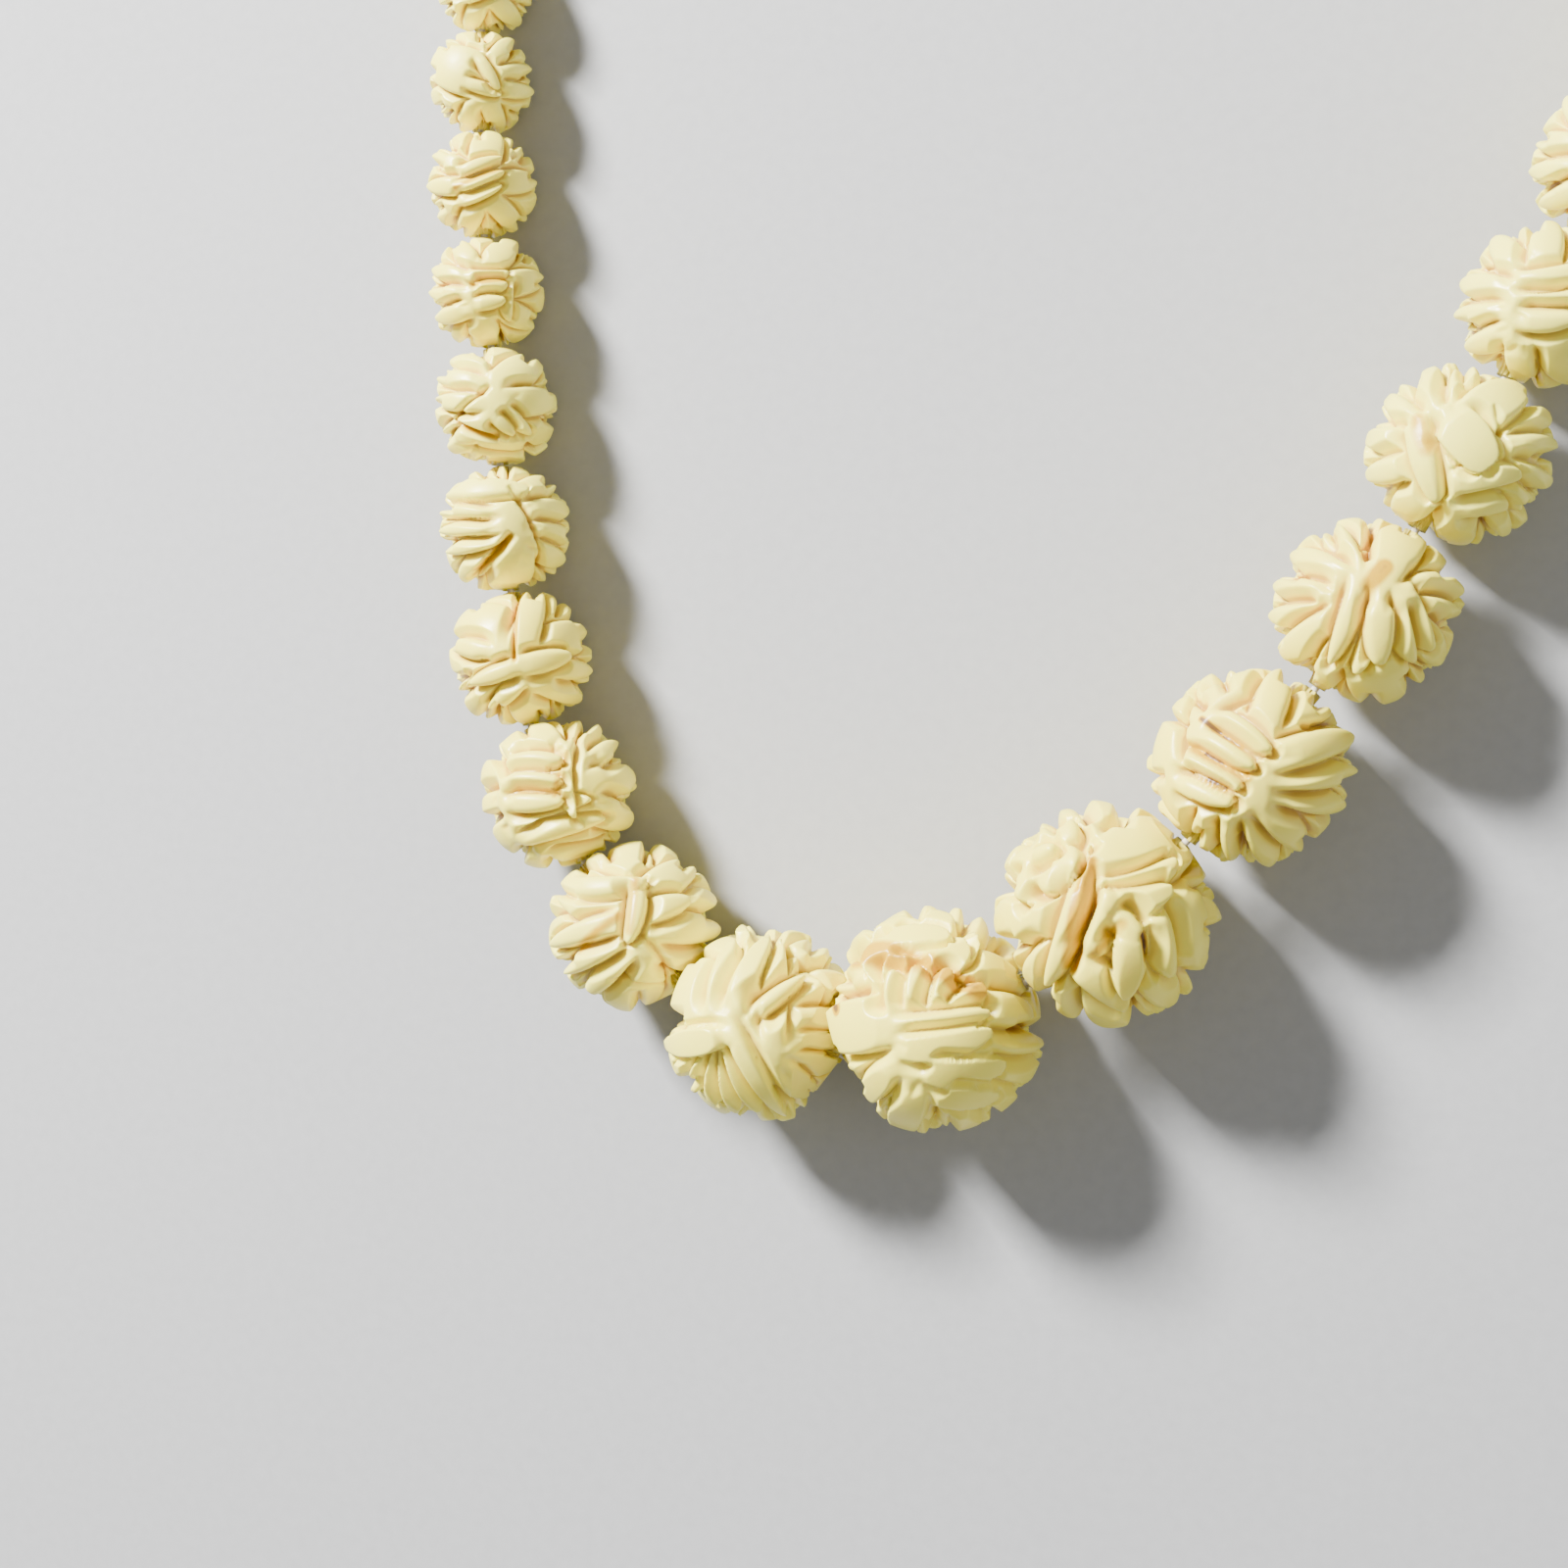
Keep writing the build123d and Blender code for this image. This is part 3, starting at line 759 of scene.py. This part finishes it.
def make_bead(side, place, material):
    """One carved bead riding on its body, in place of its CAD node."""
    name = f"bead_{side}_{place:02d}"
    rng = np.random.default_rng(100 * place + (7 if side == "left" else 3))
    centre, along, _ = bead_seat(side, place)
    eye, _, up, _ = camera_frame()
    see = Facing(np.array(centre), np.array(eye), np.array(up))
    front = FRONT.get((side, place))
    marks = plain_carving(np.array(along), see, rng, front is not None)
    if front:
        marks += front(see, rng) + rim_cuts(see, rng)
    grid = FINE_GRID if place <= FINE_BEADS[side] else COARSE_GRID
    bead = carved_bead(f"{name}_carved", side, place, marks, rng, grid)
    bead.data.materials.append(material)
    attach(bead, bead_body(side, place))
    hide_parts(name)
    return bead


# ---------------------------------------------------------------- materials

def shader(name):
    """A new material's node tree, with its principled shader and a maker of nodes."""
    material = bpy.data.materials.new(name)
    material.use_nodes = True
    tree = material.node_tree
    principled = tree.nodes["Principled BSDF"]

    def node(kind, **settings):
        made = tree.nodes.new(kind)
        for key, value in settings.items():
            if key in made.inputs:
                made.inputs[key].default_value = value
            else:
                setattr(made, key, value)
        return made

    return material, tree.links.new, principled, node


def ramp(node, stops):
    """A colour ramp with these (place, colour) stops."""
    made = node("ShaderNodeValToRGB")
    band = made.color_ramp.elements
    while len(band) < len(stops):
        band.new(0.5)
    for element, (place, colour) in zip(band, stops):
        element.position = place
        element.color = (*colour, 1)
    return made


def mixed(link, node, share, first, second):
    """Colour mix of two sockets by a third."""
    mix = node("ShaderNodeMix", data_type="RGBA", blend_type="MIX")
    link(share, mix.inputs["Factor"])
    link(first, mix.inputs["A"])
    link(second, mix.inputs["B"])
    return mix.outputs["Result"]


def product(link, node, first, second, clamped=True):
    """A socket times another socket or a number, kept between 0 and 1 where clamped is set."""
    made = node("ShaderNodeMath", operation="MULTIPLY", use_clamp=clamped)
    link(first, made.inputs[0])
    if isinstance(second, float):
        made.inputs[1].default_value = second
    else:
        link(second, made.inputs[1])
    return made.outputs[0]


def scaled_sum(link, node, first, factor, second):
    """A socket times a number, plus another socket."""
    made = node("ShaderNodeMath", operation="MULTIPLY_ADD")
    link(first, made.inputs[0])
    made.inputs[1].default_value = factor
    link(second, made.inputs[2])
    return made.outputs[0]


def mesh_value(node, name):
    """One of the values that the bead's mesh carries."""
    return node("ShaderNodeAttribute", attribute_name=name).outputs["Fac"]


def noise(link, node, scale, detail, roughness=0.5):
    """A noise that is fixed to the piece."""
    made = node("ShaderNodeTexNoise", Scale=scale, Detail=detail, Roughness=roughness)
    link(node("ShaderNodeTexCoord").outputs["Object"], made.inputs["Vector"])
    return made.outputs["Fac"]


def coloured(link, node, share, stops):
    """The colour of a ramp at a socket's value."""
    made = ramp(node, stops)
    link(share, made.inputs["Fac"])
    return made.outputs["Color"]


def bumped(link, node, principled, height, strength, distance):
    """A fine relief on the shader."""
    bump = node("ShaderNodeBump", Strength=strength, Distance=distance)
    link(height, bump.inputs["Height"])
    link(bump.outputs["Normal"], principled.inputs["Normal"])


def bone_material():
    """Carved bone: cream on the ridges, honey in the hollows darkening to painted shade in the crevices,
    brown in the stained cuts.
    """
    material, link, principled, node = shader("carved_bone")
    mottle = noise(link, node, 260.0, 4.0, 0.6)
    depth = mesh_value(node, "depth")

    # Each bead's own ivory on the ridges, and honey where it is cut deeper, turning to painted shade, from
    # honey to dark brown, in the narrow crevices.
    ivory = coloured(link, node, mesh_value(node, "tone"), ((0.0, (0.96, 0.87, 0.15)),
                                                            (1.0, (0.95, 0.82, 0.10))))
    # Painted shade: the crevice measure, with some mottle, picks the colour from light honey to dark brown.
    painted_crevice_shade = scaled_sum(link, node, mottle, 0.55, mesh_value(node, "crevice_shade"))
    honey_and_crevice_shade = coloured(link, node, painted_crevice_shade, ((0.20, (0.94, 0.79, 0.13)), (0.50, (0.89, 0.67, 0.08)),
                                        (0.88, (0.74, 0.46, 0.05)), (1.0, (0.50, 0.27, 0.04))))
    body = mixed(link, node, depth, ivory, honey_and_crevice_shade)

    # Faint amber patches in the cuts.
    patches = coloured(link, node, noise(link, node, 170.0, 3.0), ((0.52, (0, 0, 0)), (0.70, (1, 1, 1))))
    where = product(link, node, patches, depth, clamped=False)
    amber = coloured(link, node, mottle, ((0.0, (0.82, 0.55, 0.20)), (1.0, (0.74, 0.46, 0.15))))
    body = mixed(link, node, product(link, node, where, 0.55), body, amber)

    # Old dirt along the stained strips, from amber to dark brown.
    dirt = product(link, node, mesh_value(node, "stain"), mottle)
    brown = coloured(link, node, dirt, ((0.68, (0.64, 0.37, 0.0)), (1.0, (0.18, 0.09, 0.03))))
    body = mixed(link, node, product(link, node, dirt, 2.4), body, brown)
    link(body, principled.inputs["Base Color"])

    gloss = coloured(link, node, mottle, ((0.3, (0.30, 0.30, 0.30)), (0.7, (0.46, 0.46, 0.46))))
    link(gloss, principled.inputs["Roughness"])
    grain = scaled_sum(link, node, noise(link, node, 600.0, 2.0), 2.0, noise(link, node, 2600.0, 3.0, 0.6))
    bumped(link, node, principled, grain, 0.30, 0.00005)
    principled.inputs["Subsurface Weight"].default_value = 0.28
    principled.inputs["Subsurface Radius"].default_value = (1.0, 0.72, 0.38)
    principled.inputs["Subsurface Scale"].default_value = 0.0011
    return material


def thread_material():
    """Twisted pale thread."""
    material, link, principled, node = shader("twisted_thread")
    fibres = noise(link, node, 3200.0, 2.0)
    colour = coloured(link, node, fibres, ((0.3, (0.60, 0.53, 0.40)), (0.7, (0.86, 0.81, 0.68))))
    link(colour, principled.inputs["Base Color"])
    bumped(link, node, principled, fibres, 0.5, 0.00008)
    principled.inputs["Roughness"].default_value = 0.85
    return material


def brass_material():
    """Worn brass: brighter where it rubs, duller and browner in patches."""
    material, link, principled, node = shader("worn_brass")
    wear = noise(link, node, 420.0, 5.0, 0.65)
    colour = coloured(link, node, wear, ((0.32, (0.50, 0.34, 0.13)), (0.55, (0.83, 0.64, 0.30)),
                                         (0.75, (0.93, 0.77, 0.42))))
    link(colour, principled.inputs["Base Color"])
    dull = coloured(link, node, wear, ((0.3, (0.46, 0.46, 0.46)), (0.7, (0.22, 0.22, 0.22))))
    link(dull, principled.inputs["Roughness"])
    bumped(link, node, principled, noise(link, node, 3000.0, 2.0), 0.15, 0.00003)
    principled.inputs["Metallic"].default_value = 1.0
    return material


def floor_material():
    """Plain pale matte floor."""
    material, link, principled, node = shader("pale_floor")
    speckle = noise(link, node, 900.0, 2.0)
    colour = coloured(link, node, speckle, ((0.3, (0.36, 0.36, 0.36)), (0.7, (0.38, 0.38, 0.38))))
    link(colour, principled.inputs["Base Color"])
    principled.inputs["Roughness"].default_value = 0.9
    return material


# ---------------------------------------------------------------- thread and metal

def tube(name, points, radius, sides=20):
    """A closed-ended round tube through the points."""
    points = [Vector(point) for point in points]
    vertices, faces = [], []
    for number, point in enumerate(points):
        ahead = points[min(number + 1, len(points) - 1)] - points[max(number - 1, 0)]
        turn = ahead.to_track_quat("Z", "Y").to_matrix()
        for step in range(sides):
            angle = 2 * math.pi * step / sides
            vertices.append(point + turn @ Vector((math.cos(angle), math.sin(angle), 0)) * radius)
    for number in range(len(points) - 1):
        for step in range(sides):
            a, b = number * sides + step, number * sides + (step + 1) % sides
            faces.append((a, b, b + sides, a + sides))
    faces.append(tuple(range(sides))[::-1])
    faces.append(tuple(range(len(vertices) - sides, len(vertices))))
    return smooth_object(name, vertices, faces)


def thread_in_gap(side, place, material):
    """The thread from the middle of one bead to the middle of the next, through their hinge."""
    joint = hinge(side, place)
    if place == 0:
        near, near_body = bead_seat("left", 1)[0], "front_bead"
    else:
        near, near_body = bead_seat(side, place)[0], bead_body(side, place)
    if place == BEADS_PER_SIDE:
        low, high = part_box(f"knot_{side}")
        far, far_body = (low + high) / 2, f"bead_tip_{side}"
    else:
        far, far_body = bead_seat(side, place + 1)[0], bead_body(side, place + 1)
    runs = [near.lerp(joint, share) for share in (0, 0.3, 0.6, 0.8, 0.9)]
    runs += [joint] + [joint.lerp(far, share) for share in (0.1, 0.2, 0.4, 0.7, 1)]
    label = "front" if place == 0 else f"{side}_{place:02d}"
    thread = tube(f"thread_{label}", runs, CORD_RADIUS)
    thread.data.materials.append(material)
    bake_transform(thread)
    return thread


def assign(nodes, material):
    """Give these CAD nodes, which keep their shapes, a material."""
    for name in nodes:
        for slot in frame["nodes"][name].material_slots:
            slot.material = material


# ---------------------------------------------------------------- the scene

def stage_and_lights():
    """Pale floor, a soft key from the upper left and a weak wide fill."""
    bpy.ops.mesh.primitive_grid_add(x_subdivisions=8, y_subdivisions=8, size=2.4)
    floor = bpy.context.object
    floor.name = "floor"
    floor.data.materials.append(floor_material())
    for name, place, size, power in (("key", (-0.36, 0.34, 0.40), 0.14, 26.0),
                                     ("fill", (0.5, -0.2, 0.6), 0.9, 1.8)):
        light = bpy.data.lights.new(name, "AREA")
        light.size, light.energy = size, power
        lamp = bpy.data.objects.new(name, light)
        lamp.location = place
        lamp.rotation_euler = (-Vector(place)).to_track_quat("-Z", "Y").to_euler()
        bpy.context.scene.collection.objects.link(lamp)
    world = bpy.context.scene.world or bpy.data.worlds.new("soft")
    bpy.context.scene.world = world
    world.use_nodes = True
    world.node_tree.nodes["Background"].inputs["Color"].default_value = (0.95, 0.97, 1.0, 1)
    world.node_tree.nodes["Background"].inputs["Strength"].default_value = 0.36


def set_camera():
    eye, right, up, forward = camera_frame()
    data = bpy.data.cameras.new("camera")
    data.lens, data.sensor_width = CAMERA_LENS, 36.0
    data.clip_start = 0.005
    camera = bpy.data.objects.new("camera", data)
    camera.matrix_world = Matrix.Translation(eye) @ Matrix((right, up, -forward)).transposed().to_4x4()
    bpy.context.scene.collection.objects.link(camera)
    bpy.context.scene.camera = camera


def main():
    set_camera()
    bone, brass, thread = bone_material(), brass_material(), thread_material()
    assign(("bead_tip_left", "bead_tip_right", "clasp_ring_left", "clasp_ring_right", "clasp_screw",
            "clasp_socket"), brass)
    assign(("knot_left", "knot_right"), thread)
    threads = []
    for side in ("left", "right"):
        for place in range(1, BEADS_PER_SIDE + 1):
            make_bead(side, place, bone)
            threads.append(thread_in_gap(side, place, thread))
    threads.append(thread_in_gap("right", 0, thread))
    for piece in threads:
        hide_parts("stringing_cord")
    stage_and_lights()


main()
